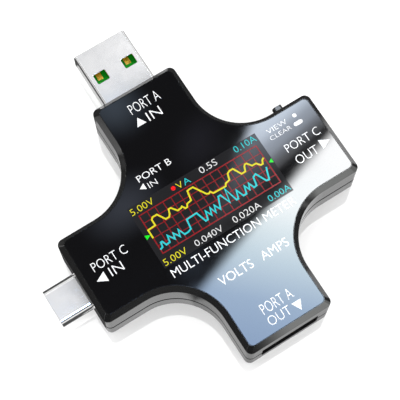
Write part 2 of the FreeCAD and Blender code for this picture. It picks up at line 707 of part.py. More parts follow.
def cut_pin_tunnels(body, port, front):
    """Cuts the tunnels that the four contacts of a USB-A connector run through, up to a front."""
    sketch = new_sketch(body, "XY_Plane", front)
    for middle in pin_columns(port):
        left = f"{middle} - {port}_pin_width / 2"
        right = f"{middle} + {port}_pin_width / 2"
        draw_rectangle(sketch, left, right, "0", "pin_thickness")
    pocket(body, sketch, front)


def make_pins_a(port, name):
    """The four flat contacts of a USB-A connector, whose tails lie on the board."""
    blocks = [
        new_box(f"{name}_{place}", f"{middle} - {port}_pin_width / 2", f"{middle} + {port}_pin_width / 2",
                "0", "pin_thickness", "-pin_tail", f"{port}_pin_tip")
        for place, middle in enumerate(pin_columns(port))
    ]
    lay_down(group(name, blocks), port)


def make_plug_a():
    """The USB-A plug: shell with windows, green insulator and four contacts."""
    shell = make_shell("plug_a", "usb_a_plug_shell")
    cut_plug_windows(shell)

    body = new_body("usb_a_plug_insulator")
    half_width = "(plug_a_width / 2 - plug_a_wall - fit_gap)"
    bottom = "-(plug_a_height / 2 - plug_a_wall - fit_gap)"
    base = new_sketch(body, "XY_Plane")
    draw_insulator_section(base, "plug_a")
    pad(body, base, "plug_a_base")
    for top, length in (("plug_a_cover_rise", "plug_a_cover"), ("0", "plug_a_tongue")):
        step = new_sketch(body, "XY_Plane")
        draw_outline(step, [
            (f"-{half_width}", bottom, "plug_a_corner - plug_a_wall"),
            (half_width, bottom, "plug_a_corner - plug_a_wall"),
            (half_width, top, None),
            (f"-{half_width}", top, None),
        ])
        pad(body, step, length)
    cut_pin_tunnels(body, "plug_a", "plug_a_cover")
    lay_down(body, "plug_a")

    make_pins_a("plug_a", "usb_a_plug_contacts")


def make_socket_a():
    """The USB-A socket: shell, insulator with its tongue in the upper half, contacts and springs."""
    make_shell("socket_a", "usb_a_socket_shell")

    body = new_body("usb_a_socket_insulator")
    base = new_sketch(body, "XY_Plane")
    draw_insulator_section(base, "socket_a")
    pad(body, base, "socket_a_base")
    tongue = new_sketch(body, "XY_Plane")
    half_width = "(socket_a_tongue_width / 2)"
    draw_rectangle(tongue, f"-{half_width}", half_width, "pin_thickness", "socket_a_tongue_top")
    pad(body, tongue, "socket_a_tongue")
    cut_pin_tunnels(body, "socket_a", "socket_a_base")
    lay_down(body, "socket_a")

    make_pins_a("socket_a", "usb_a_socket_contacts")
    make_socket_springs()


def make_socket_springs():
    """The four leaf springs inside the top and bottom of the USB-A socket's shell, which grip a plug."""
    leaves = []
    wall = "(socket_a_height / 2 - socket_a_wall)"
    for side in ("", "-"):
        for place, middle in enumerate(("-spring_place", "spring_place")):
            leaf = new_leaf(f"spring{side and '_low'}_{place}", side, wall)
            leaves.append(leaf)
            bind(leaf, "Placement.Base.x", f"{middle} - spring_width / 2")
    lay_down(group("usb_a_socket_springs", leaves), "socket_a")


def new_leaf(name, side, wall):
    """One bent leaf: flat at its root, rising to its crest, and falling back towards its free end."""
    stations = (
        ("spring_root", "0"), ("spring_root + 1", "0"), ("spring_crest", "spring_rise"),
        ("spring_tip", "spring_tip_rise"),
    )
    outer = [(along, f"{side}({wall} - {rise})") for along, rise in stations]
    inner = [(along, f"{side}({wall} - {rise} - spring_thickness)") for along, rise in reversed(stations)]
    corners = [Vector(0, value(height), value(along)) for along, height in outer + inner]
    profile = Part.Face(Part.makePolygon(corners + corners[:1]))
    leaf = document.addObject("Part::Feature", name)
    leaf.Shape = profile.extrude(Vector(value("spring_width"), 0, 0))
    return leaf


def make_fine_pins(port, name, inner, outer, near, far):
    """Two rows of twelve fine contacts, one above and one below the port axis."""
    blocks = []
    for place in range(12):
        middle = f"{place - 5.5} * fine_pitch"
        left = f"{middle} - fine_width / 2"
        right = f"{middle} + fine_width / 2"
        blocks.append(new_box(f"{name}_high_{place}", left, right, inner, outer, near, far))
        blocks.append(new_box(f"{name}_low_{place}", left, right, f"-({outer})", f"-({inner})", near, far))
    lay_down(group(name, blocks), port)


def make_plug_c():
    """The USB-C plug: round-sided shell, slotted insulator and contacts inside the slot."""
    make_shell("plug_c", "usb_c_plug_shell")

    body = new_body("usb_c_plug_insulator")
    section = new_sketch(body, "XY_Plane")
    draw_insulator_section(section, "plug_c")
    pad(body, section, "plug_c_front")
    slot = new_sketch(body, "XY_Plane", "plug_c_front")
    draw_centred(slot, "plug_c_slot_width", "plug_c_slot_height")
    pocket(body, slot, "plug_c_slot_depth")
    lay_down(body, "plug_c")

    slot_floor = "plug_c_front - plug_c_slot_depth"
    inner = "plug_c_slot_height / 2 - plug_c_pin_thickness"
    make_fine_pins("plug_c", "usb_c_plug_contacts", inner, "plug_c_slot_height / 2",
                   slot_floor, f"{slot_floor} + plug_c_pin_length")


def make_socket_c():
    """The USB-C socket: round-sided shell, insulator with a thin middle tongue, and two rows of contacts."""
    make_shell("socket_c", "usb_c_socket_shell")

    body = new_body("usb_c_socket_insulator")
    base = new_sketch(body, "XY_Plane")
    draw_insulator_section(base, "socket_c")
    pad(body, base, "socket_c_base")
    tongue = new_sketch(body, "XY_Plane")
    draw_centred(tongue, "socket_c_tongue_width", "socket_c_tongue_height")
    pad(body, tongue, "socket_c_tongue")
    lay_down(body, "socket_c")

    inner = "socket_c_tongue_height / 2"
    make_fine_pins("socket_c", "usb_c_socket_contacts", inner, f"{inner} + socket_c_pin_thickness",
                   "socket_c_base", "socket_c_base + socket_c_pin_length")


def draw_micro_section(sketch, margin):
    """Draws the micro-USB section, moved inwards by a margin: flat top and slanted lower corners."""
    half = f"(micro_width / 2 - ({margin}))"
    high = f"(micro_height / 2 - ({margin}))"
    foot = f"({half} - micro_slant)"
    shoulder = f"({high} - micro_slant)"
    draw_polygon(sketch, [
        (half, high), (f"-{half}", high), (f"-{half}", f"-{shoulder}"),
        (f"-{foot}", f"-{high}"), (foot, f"-{high}"), (half, f"-{shoulder}"),
    ])


def make_micro_socket():
    """The micro-USB socket: slanted shell, insulator with a tongue, and five contacts under the tongue."""
    shell = new_body("micro_usb_shell")
    section = new_sketch(shell, "XY_Plane")
    draw_micro_section(section, "0")
    draw_micro_section(section, "micro_wall")
    pad(shell, section, "micro_length")
    add_tabs(shell, "micro")
    lay_down(shell, "micro")

    body = new_body("micro_usb_insulator")
    base = new_sketch(body, "XY_Plane")
    draw_micro_section(base, "micro_wall + fit_gap")
    pad(body, base, "micro_base")
    tongue = new_sketch(body, "XY_Plane")
    half_width = "(micro_tongue_width / 2)"
    draw_rectangle(tongue, f"-{half_width}", half_width, "micro_tongue_low", "micro_tongue_top")
    pad(body, tongue, "micro_tongue")
    lay_down(body, "micro")

    blocks = []
    for place in range(5):
        middle = f"{place - 2} * micro_pin_pitch"
        blocks.append(new_box(
            f"micro_pin_{place}", f"{middle} - micro_pin_width / 2", f"{middle} + micro_pin_width / 2",
            "micro_tongue_low - micro_pin_thickness", "micro_tongue_low", "micro_base", "micro_tongue",
        ))
    lay_down(group("micro_usb_contacts", blocks), "micro")


# ---------------------------------------------------------------- inside

def make_main_board():
    """The cross-shaped circuit board, notched for every port and drilled for the pegs."""
    body = new_body("main_board")
    outline = new_sketch(body, "XY_Plane", "split_height - board_thickness")
    draw_cross(outline, "board_inset")
    pad(body, outline, "board_thickness")
    for port, heading in PORTS.items():
        notch = new_sketch(body, "XY_Plane", turn=(Vector(0, 0, 1), heading))
        half_width = f"({port}_width / 2 + port_gap)"
        back = f"{port}_reach - {port}_length - port_gap"
        draw_rectangle(notch, back, f"{port}_reach", f"-{half_width}", half_width)
        pocket(body, notch, forwards=True)
    holes = new_sketch(body, "XY_Plane")
    draw_peg_circles(holes, "peg_radius + peg_gap")
    pocket(body, holes, forwards=True)


def make_display():
    """The display stack on the board: holder, backlight, glass and the flexible ribbon."""
    glass_top = f"{PANEL_LOW} - lcd_clearance"
    glass_low = f"{glass_top} - lcd_glass_thickness"
    light_low = f"{glass_low} - backlight_thickness"
    light_right = "lcd_right - lcd_ledge"

    glass = new_box("lcd_glass", "lcd_left", "lcd_right", "lcd_low", "lcd_high", glass_low, glass_top)
    sub_parts.append(glass)

    light = new_body("lcd_backlight")
    outline = new_sketch(light, "XY_Plane", light_low)
    draw_rectangle(outline, "lcd_left", light_right, "lcd_low", "lcd_high")
    pad(light, outline, "backlight_thickness")
    recess = new_sketch(light, "XY_Plane", glass_low)
    draw_rectangle(recess, "lcd_left + backlight_rim", f"{light_right} - backlight_rim",
                   "lcd_low + backlight_rim", "lcd_high - backlight_rim")
    pocket(light, recess, "backlight_recess")

    holder = new_body("lcd_holder")
    outline = new_sketch(holder, "XY_Plane", "split_height")
    left = "(lcd_left + holder_margin)"
    right = f"({light_right} - holder_margin)"
    draw_rectangle(outline, left, right, "holder_low", "holder_high")
    pad(holder, outline, f"{light_low} - split_height")
    inside = new_sketch(holder, "XY_Plane", "split_height")
    draw_rectangle(inside, f"{left} + holder_wall", f"{right} - holder_wall",
                   "holder_low + holder_wall", "holder_high - holder_wall")
    pocket(holder, inside, f"{light_low} - split_height - holder_plate", forwards=True)

    ribbon = new_body("lcd_ribbon")
    section = new_sketch(ribbon, "XZ_Plane", "-ribbon_width / 2")
    outer = "ribbon_reach"
    inner = "ribbon_reach - ribbon_thickness"
    foot_top = "split_height + ribbon_thickness"
    draw_outline(section, [
        (f"{light_right} + ribbon_thickness", glass_low, None),
        (f"{light_right} + ribbon_thickness", f"{glass_low} - ribbon_thickness", None),
        (inner, f"{glass_low} - ribbon_thickness", None),
        (inner, foot_top, None),
        ("ribbon_foot", foot_top, None),
        ("ribbon_foot", "split_height", None),
        (outer, "split_height", None),
        (outer, glass_low, None),
    ])
    pad(ribbon, section, "ribbon_width")


def spread(middle, size):
    """The two ends of a size that is centred on a middle."""
    return f"{middle - size / 2}", f"{middle + size / 2}"


def make_chips():
    """The chips and rows of small parts on both sides of the board."""
    underside = "(split_height - board_thickness)"
    for name, x, y, length, width, height, side in CHIPS:
        low, high = ("split_height", f"split_height + {height}")
        if side == "bottom":
            low, high = (f"{underside} - {height}", underside)
        chip = new_box(name, *spread(x, length), *spread(y, width), low, high)
        sub_parts.append(chip)
    for name, count, first, y, pitch, length, width, height in SMALL_PARTS:
        blocks = []
        for place in range(count):
            x = first + place * pitch
            low = f"{underside} - {height}"
            blocks.append(new_box(f"{name}_{place}", *spread(x, length), *spread(y, width), low, underside))
        group(name, blocks)


# ---------------------------------------------------------------- writing

def check_and_write():
    """Stops on any failed object or broken shape, then writes one STEP file for each sub-part."""
    document.recompute()
    for item in document.Objects:
        if {"Invalid", "Error"} & set(item.State):
            raise RuntimeError(f"{item.Name} is {item.State}")
        if item.TypeId == "Sketcher::SketchObject" and not item.FullyConstrained:
            raise RuntimeError(f"{item.Name} is not fully constrained")
    for piece in sub_parts:
        if piece.Shape.isNull() or not piece.Shape.isValid() or not piece.Shape.Solids:
            raise RuntimeError(f"{piece.Label} has no valid shape")
    os.makedirs("parts", exist_ok=True)
    for piece in sub_parts:
        piece.Shape.exportStep(f"parts/{piece.Label}.step")
        print(f"{piece.Label}: {len(piece.Shape.Solids)} solid(s), {piece.Shape.Volume:.2f} mm3")


fill_sheet()
make_bottom_case()
make_top_case()
make_panel_adhesive()
make_front_panel()
make_button_cap()
make_switch()
make_plug_a()
make_socket_a()
make_plug_c()
make_socket_c()
make_micro_socket()
make_main_board()
make_display()
make_chips()
check_and_write()
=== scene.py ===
"""Visual model of a USB power meter: a cross-shaped meter with a colour screen and a connector on each arm.

Every CAD node gets its finish, the front panel gets its print and the picture on its screen, and a plain
white studio stands around it. Objects are in metres, in the CAD frame: x and y run along the arms and z
is up from the base. Tables of artwork are in millimetres, as their names say.
"""
import math

import bmesh
import bpy
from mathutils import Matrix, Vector


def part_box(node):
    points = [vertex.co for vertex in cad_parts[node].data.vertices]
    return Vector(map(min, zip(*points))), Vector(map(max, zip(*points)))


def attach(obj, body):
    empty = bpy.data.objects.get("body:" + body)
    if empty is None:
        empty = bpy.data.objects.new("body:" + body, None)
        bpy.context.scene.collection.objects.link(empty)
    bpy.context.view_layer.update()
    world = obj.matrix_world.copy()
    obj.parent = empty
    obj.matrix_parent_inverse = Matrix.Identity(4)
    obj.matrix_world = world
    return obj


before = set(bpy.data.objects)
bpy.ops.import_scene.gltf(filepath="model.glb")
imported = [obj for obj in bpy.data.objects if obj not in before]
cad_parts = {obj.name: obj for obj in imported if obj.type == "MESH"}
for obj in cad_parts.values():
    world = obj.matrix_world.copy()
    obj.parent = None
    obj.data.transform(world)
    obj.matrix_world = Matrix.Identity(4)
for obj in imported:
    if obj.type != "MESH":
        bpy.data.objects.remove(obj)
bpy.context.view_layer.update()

MM = 0.001

PANEL_LOW, PANEL_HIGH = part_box("front_panel")
PANEL_TOP = PANEL_HIGH.z

# Thickness of a printed or lit layer, and how high each one sits above the panel.
LAYER = 0.003 * MM
PRINT_LIFT = 0.012 * MM
SCREEN_LIFT = 0.004 * MM
GRID_LIFT = 0.010 * MM
TRACE_LIFT = 0.016 * MM
READOUT_LIFT = 0.022 * MM

# ---------------------------------------------------------------- shader nodes


def feed(tree, socket, value):
    """Links a socket or a node's first output to the input, or sets the input to a plain value."""
    if isinstance(value, bpy.types.Node):
        value = value.outputs[0]
    if isinstance(value, bpy.types.NodeSocket):
        tree.links.new(value, socket)
    else:
        socket.default_value = value


def add_node(tree, kind, inputs=None, **settings):
    node = tree.nodes.new("ShaderNode" + kind)
    for name, value in settings.items():
        setattr(node, name, value)
    for key, value in (inputs or {}).items():
        feed(tree, node.inputs[key], value)
    return node


def math_node(tree, operation, *values):
    return add_node(tree, "Math", dict(enumerate(values)), operation=operation)


def spread(tree, value, start, end, low, high, kind="SMOOTHSTEP"):
    """Maps value from start..end to low..high."""
    inputs = {"Value": value, "From Min": start, "From Max": end, "To Min": low, "To Max": high}
    return add_node(tree, "MapRange", inputs, interpolation_type=kind, clamp=True)


def scaled(tree, colour, amount):
    """The colour times the amount."""
    node = add_node(tree, "VectorMath", {0: colour}, operation="SCALE")
    feed(tree, node.inputs["Scale"], amount)
    return node


def total(tree, terms):
    """The sum of some vectors."""
    result = terms[0]
    for term in terms[1:]:
        result = add_node(tree, "VectorMath", {0: result, 1: term}, operation="ADD")
    return result


def ramp(tree, value, stops):
    """A colour ramp over (position, colour) stops."""
    node = add_node(tree, "ValToRGB", {"Fac": value})
    elements = node.color_ramp.elements
    while len(elements) < len(stops):
        elements.new(0.5)
    for element, (position, colour) in zip(elements, stops):
        element.position = position
        element.color = (*colour, 1)
    return node


class Finish:
    """A Principled material with texture nodes in object space."""

    def __init__(self, name, colour, roughness, constants=None):
        self.material = bpy.data.materials.new(name)
        self.material.use_nodes = True
        self.tree = self.material.node_tree
        self.shader = self.tree.nodes["Principled BSDF"]
        self.colour = (*colour, 1)
        self.place = add_node(self.tree, "TexCoord").outputs["Object"]
        for socket, value in {"Base Color": self.colour, "Roughness": roughness, **(constants or {})}.items():
            self.shader.inputs[socket].default_value = value

    def noise(self, per_metre, detail=2.0, stretch=(1, 1, 1), turn=0.0):
        """Noise of so many cells per metre, stretched along an axis and turned about z."""
        place = add_node(
            self.tree, "Mapping", {"Vector": self.place, "Rotation": (0, 0, turn), "Scale": stretch},
        )
        return add_node(self.tree, "TexNoise", {"Vector": place, "Scale": per_metre, "Detail": detail})

    def vary_roughness(self, value, low, high):
        feed(self.tree, self.shader.inputs["Roughness"], spread(self.tree, value, 0.3, 0.7, low, high))

    def vary_colour(self, value, other, amount=1.0):
        """Mixes towards another colour where the value is high."""
        share = spread(self.tree, value, 0.35, 0.7, 0, amount)
        mixed = add_node(self.tree, "Mix", data_type="RGBA")
        feed(self.tree, mixed.inputs["Factor"], share)
        feed(self.tree, mixed.inputs[6], self.colour)
        feed(self.tree, mixed.inputs[7], (*other, 1))
        feed(self.tree, self.shader.inputs["Base Color"], mixed.outputs[2])

    def relief(self, heights, rounding=0.0):
        """Bumps from (value, depth in metres) pairs, over edges that catch light as if rounded."""
        normal = None
        if rounding:
            normal = add_node(self.tree, "Bevel", {"Radius": rounding}, samples=4)
        for value, depth in heights:
            bump = add_node(self.tree, "Bump", {"Height": value, "Distance": depth, "Strength": 1.0})
            if normal is not None:
                feed(self.tree, bump.inputs["Normal"], normal)
            normal = bump
        feed(self.tree, self.shader.inputs["Normal"], normal)


# ---------------------------------------------------------------- finishes


def moulded(name, colour, smooth, rough, ior, grain_depth, rounding=0.04 * MM):
    """Moulded plastic: a fine tool texture, faint flow marks and handling smears."""
    finish = Finish(name, colour, smooth, {"IOR": ior})
    smears = finish.noise(70, 3)
    grain = finish.noise(5500, 2)
    finish.vary_roughness(smears, smooth, rough)
    finish.vary_colour(finish.noise(260, 3), tuple(1.35 * part for part in colour), 0.6)
    finish.relief(((grain, grain_depth), (finish.noise(150, 1), grain_depth)), rounding)
    return finish.material


def panel_acrylic():
    """Black acrylic under its polished face: nearly a mirror, with faint smudges and hairline scratches."""
    finish = Finish("acrylic_black", (0.0015, 0.0015, 0.0018), 0.03, {"IOR": 1.5})
    smudges = finish.noise(95, 4, (1, 1.6, 1), 0.5)
    hairlines = finish.noise(900, 2, (1, 0.02, 1), 0.35)
    finish.vary_roughness(smudges, 0.022, 0.05)
    finish.relief(((hairlines, 0.00000006),), 0.05 * MM)
    return finish.material


def plated(name, colour, turn, smooth=0.10, rough=0.13):
    """Nickel plate on rolled sheet: streaks along the rolling direction, and faint clouding."""
    finish = Finish(name, colour, smooth, {"Metallic": 1.0})
    streaks = finish.noise(4200, 3, (1, 0.03, 1), turn)
    clouds = finish.noise(420, 3)
    finish.vary_roughness(clouds, smooth, rough)
    finish.vary_colour(clouds, tuple(0.97 * part for part in colour), 0.7)
    finish.relief(((streaks, 0.00000012),), 0.08 * MM)
    return finish.material


def gold():
    """Gold-plated contacts, a little worn."""
    finish = Finish("gold_plate", (0.75, 0.42, 0.02), 0.3, {"Metallic": 0.3})
    finish.vary_colour(finish.noise(2600, 3), (0.68, 0.34, 0.02), 0.8)
    finish.vary_roughness(finish.noise(1800, 2), 0.22, 0.42)
    return finish.material


def laminate():
    """Glass-epoxy board under green solder mask, with its weave just showing."""
    finish = Finish("board_green", (0.008, 0.075, 0.028), 0.35, {"IOR": 1.5})
    weave = add_node(finish.tree, "TexWave", {"Vector": finish.place, "Scale": 420, "Distortion": 0.6})
    finish.vary_colour(weave, (0.012, 0.11, 0.04), 0.5)
    finish.vary_roughness(finish.noise(500, 2), 0.25, 0.45)
    finish.relief(((weave, 0.000002),))
    return finish.material


def glass():
    """The face of the display panel, under the acrylic."""
    finish = Finish("display_glass", (0.012, 0.013, 0.016), 0.05, {"IOR": 1.52})
    finish.vary_roughness(finish.noise(300, 2), 0.03, 0.09)
    finish.relief(((finish.noise(2000, 1), 0.00000005),))
    return finish.material


def ribbon():
    """Amber polyimide film with copper tracks along it."""
    finish = Finish("polyimide", (0.32, 0.12, 0.015), 0.25, {"IOR": 1.6})
    tracks = add_node(finish.tree, "TexWave", {"Vector": finish.place, "Scale": 600}, bands_direction="Y")
    finish.vary_colour(tracks, (0.45, 0.20, 0.05), 0.9)
    finish.relief(((tracks, 0.000004),))
    return finish.material


def ceramic():
    """Tan ceramic bodies with a chalky face."""
    finish = Finish("ceramic_tan", (0.32, 0.20, 0.11), 0.55)
    finish.vary_colour(finish.noise(1500, 3), (0.42, 0.29, 0.17), 0.7)
    finish.vary_roughness(finish.noise(2500, 2), 0.4, 0.65)
    finish.relief(((finish.noise(7000, 2), 0.000002),))
    return finish.material


def tape():
    """Black double-sided foam tape."""
    finish = Finish("tape_black", (0.01, 0.01, 0.01), 0.8)
    finish.vary_roughness(finish.noise(900, 2), 0.65, 0.9)
    finish.relief(((finish.noise(4000, 3), 0.00001),))
    return finish.material


def ink(name, colour, glow=0.0):
    """Screen-printed ink: nearly flat, slightly uneven, and made to glow by a painted glow, since ink is no
    lamp.
    """
    # Painted glow: the emission lights the ink as if it shone, though it is no lamp.
    constants = {"IOR": 1.45, "Emission Color": (*colour, 1), "Emission Strength": glow}
    finish = Finish(name, colour, 0.4, constants)
    finish.vary_roughness(finish.noise(3000, 2), 0.3, 0.5)
    finish.vary_colour(finish.noise(1200, 2), tuple(0.93 * part for part in colour), 0.6)
    return finish.material


def lit(name, colour):
    """Lit dots of the display, part paint and part glow: they show as a fine even texture."""
    paint = tuple(0.45 * part for part in colour)
    constants = {"IOR": 1.2, "Emission Color": (*colour, 1), "Emission Strength": 0.4}
    finish = Finish(name, paint, 0.2, constants)
    dots = add_node(finish.tree, "TexVoronoi", {"Vector": finish.place, "Scale": 9000, "Randomness": 0.0})
    finish.vary_colour(dots, tuple(0.85 * part for part in paint), 0.5)
    finish.vary_roughness(dots, 0.15, 0.3)
    return finish.material


def screen_face():
    """The unlit ground of the display: dark grey, with its dot pitch."""
    constants = {"IOR": 1.22, "Emission Color": (0.016, 0.016, 0.018, 1), "Emission Strength": 0.55}
    finish = Finish("screen_ground", (0.007, 0.007, 0.0075), 0.06, constants)
    dots = add_node(finish.tree, "TexVoronoi", {"Vector": finish.place, "Scale": 9000, "Randomness": 0.0})
    finish.vary_colour(dots, (0.010, 0.010, 0.011), 1.0)
    finish.vary_roughness(finish.noise(200, 2), 0.04, 0.08)
    return finish.material


QUARTER = math.pi / 2
STEEL = (0.83, 0.83, 0.83)
NICKEL = (0.80, 0.80, 0.81)

CASE = moulded("case_black", (0.0065, 0.0065, 0.0068), 0.07, 0.11, 1.75, 0.0000004, 0.012 * MM)
BUTTON = moulded("button_black", (0.010, 0.010, 0.010), 0.24, 0.34, 1.5, 0.000001)
INSULATOR = moulded("insulator_black", (0.012, 0.012, 0.012), 0.35, 0.5, 1.5, 0.000002, 0.0)
GREEN = moulded("insulator_green", (0.0, 0.30, 0.003), 0.5, 0.65, 1.2, 0.000001, 0.0)
WHITE_PLASTIC = moulded("plastic_white", (0.62, 0.62, 0.60), 0.35, 0.5, 1.5, 0.000002, 0.0)
EPOXY = moulded("epoxy_black", (0.014, 0.014, 0.015), 0.5, 0.65, 1.5, 0.000004, 0.0)
STEEL_ALONG_Y = plated("steel_along_y", STEEL, 0.0)
STEEL_ALONG_X = plated("steel_along_x", STEEL, QUARTER)
STEEL_ACROSS = plated("steel_across", NICKEL, QUARTER / 2)
GOLD = gold()

FINISHES = {
    "bottom_case": CASE, "top_case": CASE,
    "front_panel": panel_acrylic(), "panel_adhesive": tape(),
    "usb_a_plug_shell": STEEL_ALONG_Y, "usb_a_socket_shell": STEEL_ALONG_Y,
    "usb_a_socket_springs": STEEL_ALONG_Y,
    "usb_c_plug_shell": STEEL_ALONG_X, "usb_c_socket_shell": STEEL_ALONG_X,
    "micro_usb_shell": STEEL_ACROSS, "switch_cover": STEEL_ACROSS, "switch_dome": STEEL_ACROSS,
    "crystal": STEEL_ACROSS,
    "usb_a_plug_insulator": GREEN,
    "usb_a_socket_insulator": INSULATOR, "usb_c_plug_insulator": INSULATOR,
    "usb_c_socket_insulator": INSULATOR, "micro_usb_insulator": INSULATOR, "switch_base": INSULATOR,
    "usb_a_plug_contacts": GOLD, "usb_a_socket_contacts": GOLD, "usb_c_plug_contacts": GOLD,
    "usb_c_socket_contacts": GOLD, "micro_usb_contacts": GOLD,
    "main_board": laminate(), "lcd_glass": glass(), "lcd_ribbon": ribbon(),
    "lcd_backlight": WHITE_PLASTIC, "lcd_holder": WHITE_PLASTIC,
    "microcontroller": EPOXY, "memory_chip": EPOXY, "current_shunt": EPOXY,
    "voltage_regulator": EPOXY, "smd_resistors": EPOXY,
    "smd_capacitors": ceramic(),
    "button_cap": BUTTON, "switch_plunger": BUTTON,
}

for name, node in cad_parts.items():
    node.data.materials.clear()
    node.data.materials.append(FINISHES[name])

# ---------------------------------------------------------------- flat artwork


def slab(name, polygons, lift, material, body="meter"):
    """A thin layer over the panel from flat (x, y) polygons in millimetres, closed on all sides."""
    shape = bmesh.new()
    for polygon in polygons:
        corners = [shape.verts.new((x * MM, y * MM, 0)) for x, y in polygon]
        shape.faces.new(corners)
    bmesh.ops.remove_doubles(shape, verts=shape.verts, dist=0.0001 * MM)
    finish_slab(name, shape, lift, material, body)


def finish_slab(name, shape, lift, material, body):
    """Turns flat faces into a closed layer, puts it on the panel and lets it ride on the body."""
    bmesh.ops.recalc_face_normals(shape, faces=shape.faces)
    for face in shape.faces:
        if face.normal.z < 0:
            face.normal_flip()
    grown = bmesh.ops.extrude_face_region(shape, geom=shape.faces[:])
    raised = [item for item in grown["geom"] if isinstance(item, bmesh.types.BMVert)]
    bmesh.ops.translate(shape, verts=raised, vec=(0, 0, LAYER))
    bmesh.ops.recalc_face_normals(shape, faces=shape.faces)
    bmesh.ops.translate(shape, verts=shape.verts, vec=(0, 0, PANEL_TOP + lift))
    mesh = bpy.data.meshes.new(name)
    shape.to_mesh(mesh)
    shape.free()
    mesh.materials.append(material)
    piece = bpy.data.objects.new(name, mesh)
    bpy.context.scene.collection.objects.link(piece)
    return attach(piece, body)


def letters(text, box, weight=0.0):
    """Flat faces of a line of text, fitted to a (left, bottom, right, top) box in millimetres."""
    curve = bpy.data.curves.new("letters", "FONT")
    curve.body = text
    curve.offset = weight
    curve.resolution_u = 3
    item = bpy.data.objects.new("letters", curve)
    bpy.context.scene.collection.objects.link(item)
    bpy.context.view_layer.update()
    mesh = bpy.data.meshes.new_from_object(item.evaluated_get(bpy.context.evaluated_depsgraph_get()))
    left, bottom, right, top = box
    xs = [point.co.x for point in mesh.vertices]
    ys = [point.co.y for point in mesh.vertices]
    wide, tall = max(xs) - min(xs), max(ys) - min(ys)
    faces = []
    for face in mesh.polygons:
        corners = [mesh.vertices[index].co for index in face.vertices]
        faces.append([
            (left + (c.x - min(xs)) / wide * (right - left), bottom + (c.y - min(ys)) / tall * (top - bottom))
            for c in corners
        ])
    bpy.data.objects.remove(item)
    bpy.data.curves.remove(curve)
    bpy.data.meshes.remove(mesh)
    return faces


def disc(x, y, radius, sides=28):
    angles = [2 * math.pi * step / sides for step in range(sides)]
    return [(x + radius * math.cos(a), y + radius * math.sin(a)) for a in angles]


def stadium(x0, x1, y, radius, sides=14):
    """A bar with round ends."""
    right = [math.pi * (step / sides - 0.5) for step in range(sides + 1)]
    left = [angle + math.pi for angle in right]
    ends = [(x1 - radius, angle) for angle in right] + [(x0 + radius, angle) for angle in left]
    return [(x + radius * math.cos(a), y + radius * math.sin(a)) for x, a in ends]


def rectangle(left, bottom, right, top):
    return [(left, bottom), (right, bottom), (right, top), (left, top)]


def lattice(xs, ys, line, border):
    """The lines of a grid as faces that don't overlap."""
    def bands(places):
        cuts = []
        for index, place in enumerate(places):
            half = (border if index in (0, len(places) - 1) else line) / 2
            cuts += [place - half, place + half]
        return cuts
    across, along = bands(xs), bands(ys)
    faces = []
    for i in range(len(across) - 1):
        for j in range(len(along) - 1):
            if i % 2 == 0 or j % 2 == 0:
                faces.append(rectangle(across[i], along[j], across[i + 1], along[j + 1]))
    return faces


def ribbon_faces(points, width):
    """A band of constant width along a line of points, mitred at its corners."""
    path = [Vector(point) for point in points]
    sides = []
    for index, point in enumerate(path):
        before = (point - path[index - 1]).normalized() if index else None
        after = (path[index + 1] - point).normalized() if index + 1 < len(path) else None
        along = ((before or after) + (after or before)).normalized()
        normal = Vector((-along.y, along.x))
        straight = before or after
        reach = width / 2 / max(0.45, normal.dot(Vector((-straight.y, straight.x))))
        sides.append((point + normal * reach, point - normal * reach))
    faces = []
    for (left_a, right_a), (left_b, right_b) in zip(sides, sides[1:]):
        faces.append([tuple(right_a), tuple(right_b), tuple(left_b), tuple(left_a)])
    return faces


# The white print glows faintly: painted light that keeps the ink bright, though the ink is no lamp.
WHITE_INK = ink("ink_white", (0.72, 0.72, 0.72), 0.05)

# Words are ((text, box, weight), ...); arrows and marks are polygons. All in millimetres on the panel.
PRINTS = {
    "print_usb_a_plug": (
        (("PORT A", (-3.0, 23.9, 3.8, 26.1), -0.012), ("IN", (-0.7, 20.9, 2.4, 22.9), -0.012)),
        ([(-2.5, 22.9), (-3.5, 21.1), (-1.4, 21.1)],),
    ),
    "print_usb_c_plug": (
        (("PORT C", (-26.0, 0.1, -18.4, 2.0), -0.012), ("IN", (-23.5, -2.4, -20.7, -0.5), -0.012)),
        ([(-26.6, -1.7), (-24.5, -2.8), (-24.5, -0.6)],),
    ),
    "print_usb_c_socket": (
        (("PORT C", (18.9, 0.5, 26.7, 2.3), -0.012), ("OUT", (19.3, -2.7, 24.3, -0.8), -0.012)),
        ([(27.4, -1.5), (25.3, -0.4), (25.3, -2.5)],),
    ),
    "print_usb_a_socket": (
        (("PORT A", (-3.0, -24.4, 3.8, -22.2), -0.012), ("OUT", (-3.1, -26.9, 1.8, -25.0), -0.012)),
        ([(3.6, -27.3), (4.6, -25.3), (2.5, -25.3)],),
    ),
    "print_micro_usb": (
        (("PORT B", (-9.3, 11.0, -1.7, 12.4), -0.006), ("IN", (-8.1, 8.9, -6.2, 10.1), -0.012)),
        ([(-9.9, 9.8), (-8.7, 9.1), (-8.7, 10.5)],),
    ),
    "print_button": (
        (("VIEW", (17.7, 5.9, 22.3, 6.9), -0.012), ("CLEAR", (17.5, 4.4, 22.4, 5.3), -0.012)),
        (disc(24.3, 6.5, 0.42), stadium(23.1, 25.1, 4.8, 0.42)),
    ),
    "print_title": (
        (("MULTI-FUNCTION METER", (-13.6, -9.1, 14.6, -7.3), -0.005),),
        (),
    ),
    "print_quantities": (
        (("VOLTS", (-6.8, -15.4, 0.7, -13.5), 0.0), ("AMPS", (2.7, -15.4, 8.8, -13.5), 0.0)),
        (),
    ),
}

for name, (words, marks) in PRINTS.items():
    faces = [face for text, box, weight in words for face in letters(text, box, weight)]
    slab(name, faces + [list(mark) for mark in marks], PRINT_LIFT, WHITE_INK)

# ---------------------------------------------------------------- the picture on the screen

